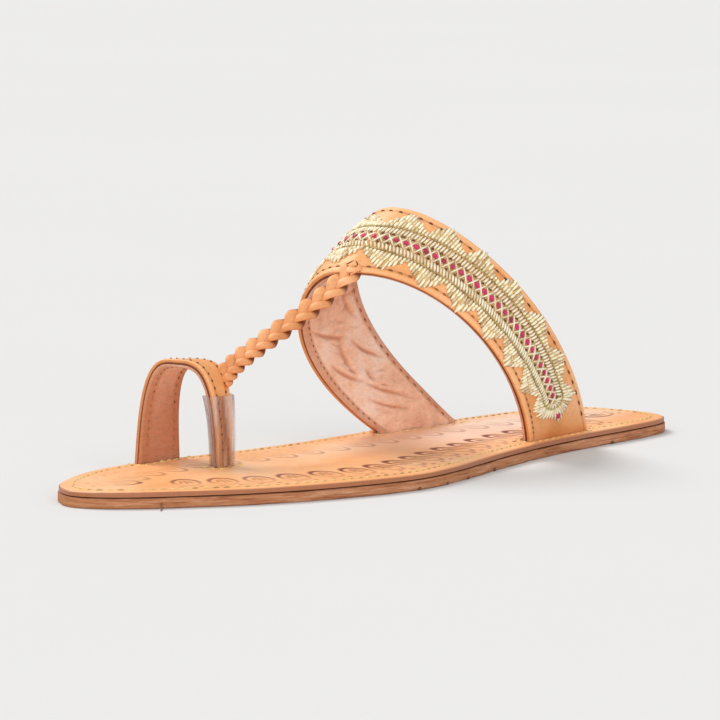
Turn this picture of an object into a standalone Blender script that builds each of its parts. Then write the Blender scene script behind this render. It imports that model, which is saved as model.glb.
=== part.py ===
# Left kolhapuri sandal: two flat leather layers, and an upper of one instep band, one big-toe loop
# and a plaited thong between them. X runs from heel to toe, Y to the lateral side, Z up from the floor.
import math
from collections import namedtuple

import bmesh
import bpy
from mathutils import Vector

# Sole
LENGTH = 0.2505
BALL_WIDTH = 0.083
OUTSOLE_THICKNESS = 0.0031
INSOLE_THICKNESS = 0.0017
INSOLE_INSET = 0.0003
EDGE_EASING = 0.0004
CLEARANCE = 0.0003

# Straps
INSTEP_HEIGHT = 0.0734
BAND_WALL = 0.003
BAND_INSET = 0.0042
BAND_CROWN = 0.0010
TOE_LOOP_HEIGHT = 0.0315
LOOP_WALL = 0.0026
LOOP_INSET = 0.0014
TOE_GAP_WIDTH = 0.0262
EMBROIDERY_RISE = 0.0006
LEG_RISE = 0.0006

# Plaited thong: half the sway of a strand, and a strand's own half width and half thickness
PLAIT_SWAY = 0.0018
PLAIT_LIFT = 0.0009
STRAND_HALF_WIDTH = 0.0015
STRAND_HALF_THICKNESS = 0.0014
PLAIT_PERIOD = 0.0148

# Clear sleeve on the loop's inner leg
SLEEVE_WALL = 0.0005
SLEEVE_HEIGHT = 0.0212

# How finely the curves are cut
OUTLINE_POINTS = 88
OUTLINE_SPANS = 8
BAND_ROWS = 44
LOOP_ROWS = 34
PLAIT_RINGS_PER_PERIOD = 18
PLAIT_COLUMNS = 8
SLEEVE_ROWS = 8
CURVE_STEPS = 60
ARCH_STEP = 0.004
SHARP_ANGLE = math.radians(35)

# Sole outline. Station: share of the length from the heel end. Lateral and medial: shares of the ball
# width from the centre line.
OutlineRow = namedtuple("OutlineRow", "station lateral medial")
OUTLINE = [
    OutlineRow(0.012, 0.245, -0.120),
    OutlineRow(0.050, 0.325, -0.215),
    OutlineRow(0.120, 0.342, -0.280),
    OutlineRow(0.220, 0.342, -0.318),
    OutlineRow(0.320, 0.358, -0.352),
    OutlineRow(0.420, 0.400, -0.358),
    OutlineRow(0.500, 0.448, -0.372),
    OutlineRow(0.570, 0.486, -0.395),
    OutlineRow(0.640, 0.498, -0.425),
    OutlineRow(0.710, 0.452, -0.468),
    OutlineRow(0.790, 0.360, -0.498),
    OutlineRow(0.860, 0.245, -0.488),
    OutlineRow(0.920, 0.110, -0.435),
    OutlineRow(0.965, -0.010, -0.365),
    OutlineRow(0.990, -0.110, -0.285),
]
HEEL_END_SHARE = 0.060
TOE_TIP_SHARE = -0.200

# Half of a strap edge's arch, from its foot to its top. Foot is a station, a share of the length from the
# heel end. The powers side and top round the arch there, sweep says how late the edge leaves the top's
# station, and bulge is a share of the ball width.
Half = namedtuple("Half", "foot side top sweep bulge")
# One whole edge: the top's station, its share of the strap's height, and the halves to feet a and b
Edge = namedtuple("Edge", "station height a b")
BAND_FRONT = Edge(0.562, 0.750, Half(0.335, 1.02, 0.98, 0.50, 0.040), Half(0.389, 0.70, 0.62, 2.20, 0.020))
BAND_REAR = Edge(0.469, 1.000, Half(0.200, 0.86, 0.74, 0.86, 0.092), Half(0.241, 0.86, 0.74, 1.56, 0.100))
BAND_TOP_SHIFT = -0.018
LOOP_FRONT = Edge(0.770, 1.000, Half(0.751, 0.62, 0.62, 0.35, 0.000), Half(0.784, 0.62, 0.62, 1.00, 0.000))
LOOP_REAR = Edge(0.714, 0.960, Half(0.725, 0.62, 0.62, 0.35, 0.000), Half(0.709, 0.62, 0.62, 1.00, 0.000))

# Across a strap from its front edge: share of the width, and share of the embroidery's rise
ProfileRow = namedtuple("ProfileRow", "across rise")
BAND_PROFILE = [
    ProfileRow(0.00, 0.0),
    ProfileRow(0.14, 0.0),
    ProfileRow(0.16, 1.0),
    ProfileRow(0.38, 1.0),
    ProfileRow(0.62, 1.0),
    ProfileRow(0.84, 1.0),
    ProfileRow(0.86, 0.0),
    ProfileRow(1.00, 0.0),
]
LOOP_PROFILE = [
    ProfileRow(0.00, 0.0),
    ProfileRow(0.28, 0.0),
    ProfileRow(0.32, 1.0),
    ProfileRow(0.68, 1.0),
    ProfileRow(0.72, 0.0),
    ProfileRow(1.00, 0.0),
]
# The embroidery stops this share of the arch short of each foot
BAND_EMBROIDERY_STOP = 0.13
LOOP_EMBROIDERY_STOP = 0.40

# The thong leaves the loop at this share of its arch and meets the band's front edge at its top
THONG_START_ARCH = -0.50
THONG_START_ACROSS = 0.80
THONG_RISE = 0.0085
THONG_REACH = 0.018
THONG_START_SHARE = 0.2
THONG_DROP = 0.0165
THONG_SEAT = 0.0045

FLOOR = 0.0
INSOLE_BOTTOM = OUTSOLE_THICKNESS + CLEARANCE
INSOLE_TOP = INSOLE_BOTTOM + INSOLE_THICKNESS
LEG_SEAT = INSOLE_BOTTOM
# Share of the loop's arch that the sleeve is measured from
SLEEVE_ARCH = 0.75


def x_at(station):
    return (station - 0.5) * LENGTH


def smooth_closed(points, spans):
    """Points on a Catmull-Rom curve through a closed list."""
    curve = []
    count = len(points)
    for i in range(count):
        p0, p1, p2, p3 = (points[(i + k) % count] for k in (-1, 0, 1, 2))
        for j in range(spans):
            t = j / spans
            a = 2.0 * p1
            b = (p2 - p0) * t
            c = (2.0 * p0 - 5.0 * p1 + 4.0 * p2 - p3) * t ** 2
            d = (3.0 * p1 - p0 - 3.0 * p2 + p3) * t ** 3
            curve.append((a + b + c + d) * 0.5)
    return curve


def even_closed(points, count):
    """The same closed line cut into equal lengths."""
    line = points + points[:1]
    lengths = [0.0]
    for a, b in zip(line, line[1:]):
        lengths.append(lengths[-1] + (b - a).length)
    result = []
    k = 0
    for i in range(count):
        goal = lengths[-1] * i / count
        while lengths[k + 1] < goal:
            k += 1
        t = (goal - lengths[k]) / (lengths[k + 1] - lengths[k])
        result.append(line[k].lerp(line[k + 1], t))
    return result


def offset_ring(points, distance):
    """Moves a closed ring outward in plan by a distance. The ring runs counter-clockwise."""
    count = len(points)
    moved = []
    for i, p in enumerate(points):
        a = (p - points[i - 1]).to_2d().normalized()
        b = (points[(i + 1) % count] - p).to_2d().normalized()
        normal = Vector((a.y + b.y, -a.x - b.x)).normalized()
        reach = distance / max(0.5, normal.dot(Vector((a.y, -a.x))))
        moved.append(p + Vector((normal.x * reach, normal.y * reach, 0.0)))
    return moved


def sole_outline():
    """The sole's outline in plan, counter-clockwise, fitted exactly into length and ball width."""
    heel = [Vector((x_at(0.0), HEEL_END_SHARE * BALL_WIDTH, 0.0))]
    tip = [Vector((x_at(1.0), TOE_TIP_SHARE * BALL_WIDTH, 0.0))]
    medial = [Vector((x_at(r.station), r.medial * BALL_WIDTH, 0.0)) for r in OUTLINE]
    lateral = [Vector((x_at(r.station), r.lateral * BALL_WIDTH, 0.0)) for r in reversed(OUTLINE)]
    ring = even_closed(smooth_closed(heel + medial + tip + lateral, OUTLINE_SPANS), OUTLINE_POINTS)
    low = Vector([min(p[k] for p in ring) for k in range(3)])
    high = Vector([max(p[k] for p in ring) for k in range(3)])
    scale_x = LENGTH / (high.x - low.x)
    scale_y = BALL_WIDTH / (high.y - low.y)
    middle = (low + high) / 2
    return [Vector(((p.x - middle.x) * scale_x, (p.y - middle.y) * scale_y, 0.0)) for p in ring]


def sole_edge(ring, x, side):
    """Y of the outline at x: the lateral edge for side 1, the medial one for side -1."""
    hits = []
    for a, b in zip(ring, ring[1:] + ring[:1]):
        if (a.x - x) * (b.x - x) <= 0 and a.x != b.x:
            hits.append(a.y + (b.y - a.y) * (x - a.x) / (b.x - a.x))
    return side * max(side * y for y in hits)


def at_height(ring, z):
    return [Vector((p.x, p.y, z)) for p in ring]


def material(name, colour, roughness, alpha=1.0):
    made = bpy.data.materials.new(name)
    made.use_nodes = True
    shader = made.node_tree.nodes["Principled BSDF"]
    shader.inputs["Base Color"].default_value = (*colour, 1.0)
    shader.inputs["Roughness"].default_value = roughness
    shader.inputs["Metallic"].default_value = 0.0
    shader.inputs["Alpha"].default_value = alpha
    return made


def loft(name, rings, finish, closed=False):
    """A solid through rings with the same number of points, capped at its ends or closed on itself."""
    bm = bmesh.new()
    rows = [[bm.verts.new(p) for p in ring] for ring in rings]
    pairs = list(zip(rows, rows[1:]))
    if closed:
        pairs.append((rows[-1], rows[0]))
    else:
        bm.faces.new(rows[0])
        bm.faces.new(rows[-1])
    for low, high in pairs:
        for j in range(len(low)):
            k = (j + 1) % len(low)
            bm.faces.new((low[j], low[k], high[k], high[j]))
    bmesh.ops.recalc_face_normals(bm, faces=bm.faces)
    mesh = bpy.data.meshes.new(name)
    bm.to_mesh(mesh)
    bm.free()
    mesh.shade_smooth()
    mesh.set_sharp_from_angle(angle=SHARP_ANGLE)
    made = bpy.data.objects.new(name, mesh)
    bpy.context.scene.collection.objects.link(made)
    mesh.materials.append(finish)
    return made


def boolean(target, tool, operation):
    """Cuts a tool from a target, or joins it, and keeps the tool as a hidden guide."""
    tool.hide_render = True
    tool.display_type = "WIRE"
    modifier = target.modifiers.new(tool.name, "BOOLEAN")
    modifier.operation = operation
    modifier.solver = "EXACT"
    modifier.object = tool


def layer(name, ring, bottom, top, finish):
    """One flat leather layer with eased edges."""
    eased = offset_ring(ring, -EDGE_EASING)
    rings = [
        at_height(eased, bottom),
        at_height(ring, bottom + EDGE_EASING),
        at_height(ring, top - EDGE_EASING),
        at_height(eased, top),
    ]
    return loft(name, rings, finish)


class Strap:
    """An arched strap with a foot on each side. Side a is the arch at -1, and side b at 1."""

    def __init__(self, front, rear, height, top_y, feet, wall, profile, stop, crown):
        self.front = front
        self.rear = rear
        self.height = height
        self.top_y = top_y
        self.feet = feet
        self.wall = wall
        self.profile = profile
        self.stop = stop
        self.crown = crown

    def edge_point(self, edge, arch):
        """A point of one edge's arch, -1 at foot a, 0 at the top and 1 at foot b."""
        first = arch < 0
        half = edge.a if first else edge.b
        turn = abs(arch) * math.pi / 2
        rise = max(0.0, math.cos(turn)) ** half.top
        foot_x = x_at(half.foot)
        foot_y = self.feet(foot_x, first)
        side = 1.0 if foot_y > self.top_y else -1.0
        x = x_at(edge.station) + (foot_x - x_at(edge.station)) * (1.0 - rise) ** half.sweep
        y = self.top_y + (foot_y - self.top_y) * math.sin(turn) ** half.side
        y += side * half.bulge * BALL_WIDTH * 4.0 * rise * (1.0 - rise)
        return Vector((x, y, INSOLE_TOP + LEG_RISE + self.height * edge.height * rise))

    def surface(self, arch, across):
        """The outer face without its embroidery."""
        return self.edge_point(self.front, arch).lerp(self.edge_point(self.rear, arch), across)

    def normal(self, arch, across):
        """Outward direction of the outer face. It is level at the feet, so that the legs stand upright."""
        low = max(-1.0, arch - ARCH_STEP)
        high = min(1.0, arch + ARCH_STEP)
        along = self.surface(high, across) - self.surface(low, across)
        over = self.edge_point(self.rear, arch) - self.edge_point(self.front, arch)
        out = over.cross(along)
        if abs(arch) == 1.0:
            out.z = 0.0
        return out.normalized()

    def section(self, arch, grow=0.0):
        """A closed ring around the strap: outer face from front to rear, then inner face back."""
        rise = min(1.0, (1.0 - abs(arch)) / self.stop) ** 2 * EMBROIDERY_RISE
        outer = []
        inner = []
        for row in self.profile:
            across = row.across
            if grow:
                width = (self.edge_point(self.rear, arch) - self.edge_point(self.front, arch)).length
                across += (2.0 * across - 1.0) * grow / width
            base = self.surface(arch, across)
            out = self.normal(arch, min(1.0, max(0.0, across)))
            crown = self.crown * 4.0 * row.across * (1.0 - row.across) * (1.0 - abs(arch) ** 4)
            outer.append(base + out * (crown + rise * row.rise + grow))
            inner.append(base + out * (crown - self.wall - grow))
        return outer + inner[::-1]

    def rings(self, rows):
        """All sections, with each leg carried straight down to its seat."""
        rings = []
        for i in range(rows + 1):
            turn = -1.0 + 2.0 * i / rows
            rings.append(self.section(turn))
        first = at_height(rings[0], LEG_SEAT)
        last = at_height(rings[-1], LEG_SEAT)
        return [first] + rings + [last]

    def slot(self, name, arch, finish):
        """A cutter for the slit that the leg's foot stands in."""
        ring = self.section(arch, CLEARANCE)
        return loft(name, [at_height(ring, FLOOR), at_height(ring, 2.0 * INSOLE_TOP)], finish)


def bezier(points, t):
    p0, p1, p2, p3 = points
    s = 1.0 - t
    return p0 * s ** 3 + p1 * (3 * s * s * t) + p2 * (3 * s * t * t) + p3 * t ** 3


def plait_ring(centre, across, up, phase):
    """A section of a three-strand plait: the strands' upper faces, then their lower faces."""
    strands = []
    for k in range(3):
        angle = 2.0 * math.pi * (phase + k / 3.0)
        strands.append((PLAIT_SWAY * math.sin(angle), PLAIT_LIFT * math.sin(2.0 * angle)))
    left = min(s[0] for s in strands) - STRAND_HALF_WIDTH
    right = max(s[0] for s in strands) + STRAND_HALF_WIDTH
    top = []
    bottom = []
    for j in range(PLAIT_COLUMNS):
        c = left + (right - left) * (1.0 - math.cos(math.pi * (j + 0.5) / PLAIT_COLUMNS)) / 2.0
        highs = []
        lows = []
        for y, z in strands:
            inside = 1.0 - ((c - y) / STRAND_HALF_WIDTH) ** 2
            if inside > 0.0:
                highs.append(z + STRAND_HALF_THICKNESS * math.sqrt(inside))
                lows.append(z - STRAND_HALF_THICKNESS * math.sqrt(inside))
        top.append(centre + across * c + up * max(highs, default=PLAIT_LIFT))
        bottom.append(centre + across * c + up * min(lows, default=-PLAIT_LIFT))
    return top + bottom[::-1]


def thong(band, loop, finish):
    """The plaited thong, from inside the loop's wall to inside the band's front edge."""
    start = loop.surface(THONG_START_ARCH, THONG_START_ACROSS)
    start -= loop.normal(THONG_START_ARCH, THONG_START_ACROSS) * loop.wall / 2
    ridge = band.surface(0.0, 0.0)
    back = (band.surface(0.0, 1.0) - ridge).normalized()
    end = ridge + back * THONG_SEAT - band.normal(0.0, 0.0) * band.wall / 2
    run = (end - start).to_2d().normalized()
    level = Vector((run.x, run.y, 0.0))
    controls = (
        start,
        start + level * THONG_REACH * THONG_START_SHARE + Vector((0.0, 0.0, THONG_RISE)),
        end - level * THONG_REACH - Vector((0.0, 0.0, THONG_DROP)),
        end,
    )
    side = Vector((-level.y, level.x, 0.0))
    line = [bezier(controls, i / CURVE_STEPS) for i in range(CURVE_STEPS + 1)]
    length = sum((b - a).length for a, b in zip(line, line[1:]))
    count = round(length / PLAIT_PERIOD * PLAIT_RINGS_PER_PERIOD)
    rings = []
    for i in range(count + 1):
        t = i / count
        centre = bezier(controls, t)
        low = max(0.0, t - ARCH_STEP)
        high = min(1.0, t + ARCH_STEP)
        up = (bezier(controls, high) - bezier(controls, low)).cross(side).normalized()
        if up.z < 0:
            up = -up
        rings.append(plait_ring(centre, side, up, t * length / PLAIT_PERIOD))
    return loft("thong", rings, finish)


def sleeve(loop, finish):
    """A thin open tube that follows the loop's inner leg."""
    low = INSOLE_TOP + CLEARANCE
    outer = []
    inner = []
    leg = [loop.section(-1.0 + SLEEVE_ARCH * i / CURVE_STEPS) for i in range(CURVE_STEPS + 1)]
    for i in range(SLEEVE_ROWS + 1):
        z = low + SLEEVE_HEIGHT * i / SLEEVE_ROWS
        around = offset_ring(slice_at(leg, z), CLEARANCE)
        inner.append(around)
        outer.append(offset_ring(around, SLEEVE_WALL))
    return loft("toe_post_sleeve", outer + inner[::-1], finish, closed=True)


def slice_at(sections, z):
    """The level ring at height z through a stack of strap sections."""
    ring = []
    for j in range(len(sections[0])):
        below = sections[0][j]
        hit = Vector((below.x, below.y, z))
        for a, b in zip(sections, sections[1:]):
            if a[j].z <= z <= b[j].z:
                t = (z - a[j].z) / max(1e-9, b[j].z - a[j].z)
                hit = a[j].lerp(b[j], t)
                break
        hit.z = z
        ring.append(hit)
    return ring


def main():
    for old in list(bpy.data.objects):
        bpy.data.objects.remove(old)

    sole_leather = material("sole_leather", (0.46, 0.22, 0.11), 0.7)
    insole_leather = material("insole_leather", (0.78, 0.42, 0.24), 0.5)
    upper_leather = material("upper_leather", (0.80, 0.36, 0.15), 0.5)
    clear_plastic = material("clear_plastic", (0.90, 0.88, 0.85), 0.25, 0.45)

    ring = sole_outline()
    layer("outsole", ring, FLOOR, OUTSOLE_THICKNESS, sole_leather)
    insole_ring = offset_ring(ring, -INSOLE_INSET)
    insole = layer("insole", insole_ring, INSOLE_BOTTOM, INSOLE_TOP, insole_leather)

    def band_feet(x, lateral):
        side = 1 if lateral else -1
        return sole_edge(ring, x, side) - side * BAND_INSET

    def loop_feet(x, inner):
        medial = sole_edge(ring, x_at(LOOP_FRONT.b.foot), -1) + LOOP_INSET
        return medial + TOE_GAP_WIDTH if inner else medial

    band = Strap(BAND_FRONT, BAND_REAR, INSTEP_HEIGHT, BAND_TOP_SHIFT * BALL_WIDTH, band_feet,
                 BAND_WALL, BAND_PROFILE, BAND_EMBROIDERY_STOP, BAND_CROWN)
    loop_middle = loop_feet(0.0, False) + TOE_GAP_WIDTH / 2
    loop = Strap(LOOP_FRONT, LOOP_REAR, TOE_LOOP_HEIGHT, loop_middle, loop_feet,
                 LOOP_WALL, LOOP_PROFILE, LOOP_EMBROIDERY_STOP, 0.0)

    upper = loft("upper", band.rings(BAND_ROWS), upper_leather)
    boolean(upper, loft("toe_loop", loop.rings(LOOP_ROWS), upper_leather), "UNION")
    boolean(upper, thong(band, loop, upper_leather), "UNION")
    for strap, word in ((band, "band"), (loop, "loop")):
        for arch, foot in ((-1.0, "a"), (1.0, "b")):
            boolean(insole, strap.slot(f"slot_{word}_{foot}", arch, insole_leather), "DIFFERENCE")
    sleeve(loop, clear_plastic)


main()
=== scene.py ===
import math
from collections import namedtuple

import bmesh
import bpy
import numpy as np
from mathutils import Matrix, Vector


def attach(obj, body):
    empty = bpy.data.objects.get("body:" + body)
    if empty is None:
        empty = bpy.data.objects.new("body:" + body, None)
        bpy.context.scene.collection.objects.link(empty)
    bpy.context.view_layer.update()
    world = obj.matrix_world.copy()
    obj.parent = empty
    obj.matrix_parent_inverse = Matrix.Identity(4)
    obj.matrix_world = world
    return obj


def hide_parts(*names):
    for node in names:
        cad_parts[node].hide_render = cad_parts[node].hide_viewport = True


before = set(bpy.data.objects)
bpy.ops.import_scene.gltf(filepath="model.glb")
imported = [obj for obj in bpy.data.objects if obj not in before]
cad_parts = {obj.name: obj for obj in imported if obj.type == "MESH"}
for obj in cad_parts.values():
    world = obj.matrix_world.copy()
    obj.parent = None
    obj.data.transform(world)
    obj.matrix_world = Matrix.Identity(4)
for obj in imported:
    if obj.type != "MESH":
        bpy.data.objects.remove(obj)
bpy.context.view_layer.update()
rng = np.random.default_rng(11)

MM = 0.001

# Camera: the photograph's place and direction, framed on the one shoe
CAMERA_PLACE = (1.1619, 0.88405, 0.2046)
CAMERA_TARGET = (0.0044, -0.0055, 0.0325)
CAMERA_LENS = 240.0

# Sole
LENGTH = 0.2505
BALL_WIDTH = 0.083
OUTSOLE_THICKNESS = 0.0031
INSOLE_THICKNESS = 0.0017
INSOLE_INSET = 0.0003
CLEARANCE = 0.0003
INSOLE_BOTTOM = OUTSOLE_THICKNESS + CLEARANCE
INSOLE_TOP = INSOLE_BOTTOM + INSOLE_THICKNESS
LEG_SEAT = INSOLE_BOTTOM
LEG_RISE = 0.0006
OUTLINE_POINTS = 88
OUTLINE_SPANS = 8

# Straps
INSTEP_HEIGHT = 0.0734
BAND_WALL = 0.003
BAND_INSET = 0.0042
BAND_CROWN = 0.0010
BAND_TOP_SHIFT = -0.018
TOE_LOOP_HEIGHT = 0.0315
LOOP_WALL = 0.0026
LOOP_INSET = 0.0014
TOE_GAP_WIDTH = 0.0262
PLAIT_SWAY = 0.0020
PLAIT_LIFT = 0.0010
STRAND_HALF_WIDTH = 0.00155
STRAND_HALF_THICKNESS = 0.00085
PLAIT_PERIOD = 0.0148
SLEEVE_WALL = 0.0005
SLEEVE_HEIGHT = 0.0212
SLOT_GAP = 0.0007

OutlineRow = namedtuple("OutlineRow", "station lateral medial")
OUTLINE = [
    OutlineRow(0.012, 0.245, -0.120),
    OutlineRow(0.050, 0.325, -0.215),
    OutlineRow(0.120, 0.342, -0.280),
    OutlineRow(0.220, 0.342, -0.318),
    OutlineRow(0.320, 0.358, -0.352),
    OutlineRow(0.420, 0.400, -0.358),
    OutlineRow(0.500, 0.448, -0.372),
    OutlineRow(0.570, 0.486, -0.395),
    OutlineRow(0.640, 0.498, -0.425),
    OutlineRow(0.710, 0.452, -0.468),
    OutlineRow(0.790, 0.360, -0.498),
    OutlineRow(0.860, 0.245, -0.488),
    OutlineRow(0.920, 0.110, -0.435),
    OutlineRow(0.965, -0.010, -0.365),
    OutlineRow(0.990, -0.110, -0.285),
]
HEEL_END_SHARE = 0.060
TOE_TIP_SHARE = -0.200

# One edge of a strap is an arch from foot a over the top to foot b. Foot and station are shares of the
# length from the heel end, height a share of the strap's height, side, top and sweep powers that round the
# arch, and bulge a share of the ball width.
Half = namedtuple("Half", "foot side top sweep bulge")
Edge = namedtuple("Edge", "station height a b")
BAND_FRONT = Edge(0.562, 0.750, Half(0.335, 1.02, 0.98, 0.50, 0.040), Half(0.389, 0.70, 0.62, 2.20, 0.020))
BAND_REAR = Edge(0.469, 1.000, Half(0.200, 0.86, 0.74, 0.86, 0.092), Half(0.241, 0.86, 0.74, 1.56, 0.100))
LOOP_FRONT = Edge(0.770, 1.000, Half(0.751, 0.62, 0.62, 0.35, 0.000), Half(0.784, 0.62, 0.62, 1.00, 0.000))
LOOP_REAR = Edge(0.714, 0.960, Half(0.725, 0.62, 0.62, 0.35, 0.000), Half(0.709, 0.62, 0.62, 1.00, 0.000))

THONG_START_ARCH = -0.50
THONG_START_ACROSS = 0.80
THONG_RISE = 0.0085
THONG_REACH = 0.018
THONG_START_SHARE = 0.2
THONG_DROP = 0.0165
THONG_SEAT = 0.0045


def rgb(code):
    """Linear colour of a six-digit sRGB code."""
    parts = [int(code[k:k + 2], 16) / 255 for k in (0, 2, 4)]
    return tuple(c / 12.92 if c <= 0.04045 else ((c + 0.055) / 1.055) ** 2.4 for c in parts)


# Shapes of the sole

def x_at(station):
    return (station - 0.5) * LENGTH


def smooth_closed(points, spans):
    """Points on a Catmull-Rom curve through a closed list."""
    p0 = np.roll(points, 1, axis=0)
    p2 = np.roll(points, -1, axis=0)
    p3 = np.roll(points, -2, axis=0)
    t = (np.arange(spans) / spans)[None, :, None]
    a = 2.0 * points[:, None]
    b = (p2 - p0)[:, None] * t
    c = (2.0 * p0 - 5.0 * points + 4.0 * p2 - p3)[:, None] * t ** 2
    d = (3.0 * points - p0 - 3.0 * p2 + p3)[:, None] * t ** 3
    return ((a + b + c + d) * 0.5).reshape(-1, points.shape[1])


def lengths_of(points):
    steps = np.linalg.norm(np.diff(points, axis=0), axis=1)
    return np.concatenate([[0.0], np.cumsum(steps)])


def along_line(points, places):
    """Points at given lengths along an open line."""
    run = lengths_of(points)
    return np.stack([np.interp(places, run, points[:, k]) for k in range(points.shape[1])], axis=-1)


def even_closed(points, count):
    line = np.vstack([points, points[:1]])
    total = lengths_of(line)[-1]
    return along_line(line, total * np.arange(count) / count)


def ring_normals(ring):
    """Outward normals in plan of a counter-clockwise ring."""
    step = np.roll(ring, -1, axis=0) - np.roll(ring, 1, axis=0)
    step /= np.linalg.norm(step, axis=1)[:, None]
    return np.stack([step[:, 1], -step[:, 0]], axis=1)


def offset_ring(ring, distance):
    return ring + ring_normals(ring) * np.reshape(distance, (-1, 1))


def sole_outline():
    """The sole's outline in plan, counter-clockwise, as the solid has it."""
    heel = [(x_at(0.0), HEEL_END_SHARE * BALL_WIDTH)]
    tip = [(x_at(1.0), TOE_TIP_SHARE * BALL_WIDTH)]
    medial = [(x_at(r.station), r.medial * BALL_WIDTH) for r in OUTLINE]
    lateral = [(x_at(r.station), r.lateral * BALL_WIDTH) for r in reversed(OUTLINE)]
    ring = even_closed(smooth_closed(np.array(heel + medial + tip + lateral), OUTLINE_SPANS), OUTLINE_POINTS)
    low = ring.min(axis=0)
    high = ring.max(axis=0)
    return (ring - (low + high) / 2) * (np.array([LENGTH, BALL_WIDTH]) / (high - low))


def sole_edge(ring, x, side):
    """Y of the outline at x: the lateral edge for side 1, the medial one for side -1."""
    after = np.roll(ring, -1, axis=0)
    hit = ((ring[:, 0] - x) * (after[:, 0] - x) <= 0) & (ring[:, 0] != after[:, 0])
    a = ring[hit]
    b = after[hit]
    y = a[:, 1] + (b[:, 1] - a[:, 1]) * (x - a[:, 0]) / (b[:, 0] - a[:, 0])
    return side * np.max(side * y)


RING = sole_outline()
SMOOTH_RING = smooth_closed(RING, 6)


# Shapes of the straps

def unit(v):
    return v / np.maximum(1e-12, np.linalg.norm(v, axis=-1))[..., None]


class Strap:
    """An arched strap, worked out as the solid is. Run is the length along its middle, 0 at the top."""

    def __init__(self, front, rear, height, top_y, feet, wall, crown):
        self.front = front
        self.rear = rear
        self.height = height
        self.top_y = top_y
        self.feet = feet
        self.wall = wall
        self.crown = crown
        self.arches = np.linspace(-1.0, 1.0, 1201)
        run = lengths_of(self.point(self.arches, 0.5))
        self.runs = run - np.interp(0.0, self.arches, run)

    def edge(self, edge, arch):
        arch = np.asarray(arch, float)
        result = np.zeros(arch.shape + (3,))
        for first, half in ((True, edge.a), (False, edge.b)):
            pick = arch < 0 if first else arch >= 0
            turn = np.abs(arch[pick]) * math.pi / 2
            rise = np.maximum(0.0, np.cos(turn)) ** half.top
            foot_x = x_at(half.foot)
            foot_y = self.feet(foot_x, first)
            side = 1.0 if foot_y > self.top_y else -1.0
            x = x_at(edge.station) + (foot_x - x_at(edge.station)) * (1.0 - rise) ** half.sweep
            y = self.top_y + (foot_y - self.top_y) * np.sin(turn) ** half.side
            y += side * half.bulge * BALL_WIDTH * 4.0 * rise * (1.0 - rise)
            z = INSOLE_TOP + LEG_RISE + self.height * edge.height * rise
            result[pick] = np.stack([x, y, z], axis=-1)
        return result

    def point(self, arch, across):
        front = self.edge(self.front, arch)
        return front + (self.edge(self.rear, arch) - front) * np.asarray(across)[..., None]

    def width(self, arch):
        return np.linalg.norm(self.edge(self.rear, arch) - self.edge(self.front, arch), axis=-1)

    def normal(self, arch, across):
        low = np.maximum(-1.0, arch - 0.006)
        high = np.minimum(1.0, arch + 0.006)
        along = self.point(high, across) - self.point(low, across)
        over = self.edge(self.rear, arch) - self.edge(self.front, arch)
        out = np.cross(over, along)
        out[..., 2] *= np.clip((1.0 - np.abs(arch)) * 22.0, 0.0, 1.0)
        return unit(out)

    def arch_at(self, run):
        return np.interp(run, self.runs, self.arches)

    def place(self, run, wide, lift):
        """Points of the outer face at a run and at a width from the middle, lifted off it, with normals."""
        run, wide, lift = np.broadcast_arrays(run, wide, lift)
        arch = self.arch_at(run)
        across = 0.5 + wide / self.width(arch)
        out = self.normal(arch, np.clip(across, 0.0, 1.0))
        crown = self.crown * 4.0 * across * (1.0 - across) * (1.0 - np.abs(arch) ** 4)
        return self.point(arch, across) + out * (crown + lift)[..., None], out


def band_feet(x, lateral):
    side = 1 if lateral else -1
    return sole_edge(RING, x, side) - side * BAND_INSET


def loop_feet(x, inner):
    medial = sole_edge(RING, x_at(LOOP_FRONT.b.foot), -1) + LOOP_INSET
    return medial + TOE_GAP_WIDTH if inner else medial


BAND_TOP_Y = BAND_TOP_SHIFT * BALL_WIDTH
LOOP_TOP_Y = loop_feet(0.0, False) + TOE_GAP_WIDTH / 2
BAND = Strap(BAND_FRONT, BAND_REAR, INSTEP_HEIGHT, BAND_TOP_Y, band_feet, BAND_WALL, BAND_CROWN)
LOOP = Strap(LOOP_FRONT, LOOP_REAR, TOE_LOOP_HEIGHT, LOOP_TOP_Y, loop_feet, LOOP_WALL, 0.0)
FEET = [(strap, arch) for strap in (BAND, LOOP) for arch in (-1.0, 1.0)]


# Meshes

def make_mesh(name, points, faces, finishes, indices=None, values=None, uv=None):
    """An object from points and faces, with point values as attributes and a uv for each point."""
    mesh = bpy.data.meshes.new(name)
    mesh.from_pydata(np.asarray(points).tolist(), [], [list(map(int, f)) for f in faces])
    for finish in finishes:
        mesh.materials.append(finish)
    if indices is not None:
        mesh.polygons.foreach_set("material_index", np.asarray(indices, dtype=np.int32))
    for word, value in (values or {}).items():
        layer = mesh.attributes.new(word, "FLOAT", "POINT")
        layer.data.foreach_set("value", np.asarray(value, dtype=np.float32))
    if uv is not None:
        corners = np.empty(len(mesh.loops), dtype=np.int32)
        mesh.loops.foreach_get("vertex_index", corners)
        mesh.uv_layers.new(name="thread").data.foreach_set("uv", np.asarray(uv, float)[corners].ravel())
    mesh.shade_smooth()
    made = bpy.data.objects.new(name, mesh)
    bpy.context.scene.collection.objects.link(made)
    return made


def piece(made, slot, *nodes):
    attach(made, "root")
    if nodes:
        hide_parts(*nodes)
    return made


def outward(made, merge=0.0):
    """Joins points closer than a distance and turns all faces outward."""
    bm = bmesh.new()
    bm.from_mesh(made.data)
    if merge:
        bmesh.ops.remove_doubles(bm, verts=bm.verts, dist=merge)
    bmesh.ops.recalc_face_normals(bm, faces=bm.faces)
    bm.to_mesh(made.data)
    bm.free()


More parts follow.
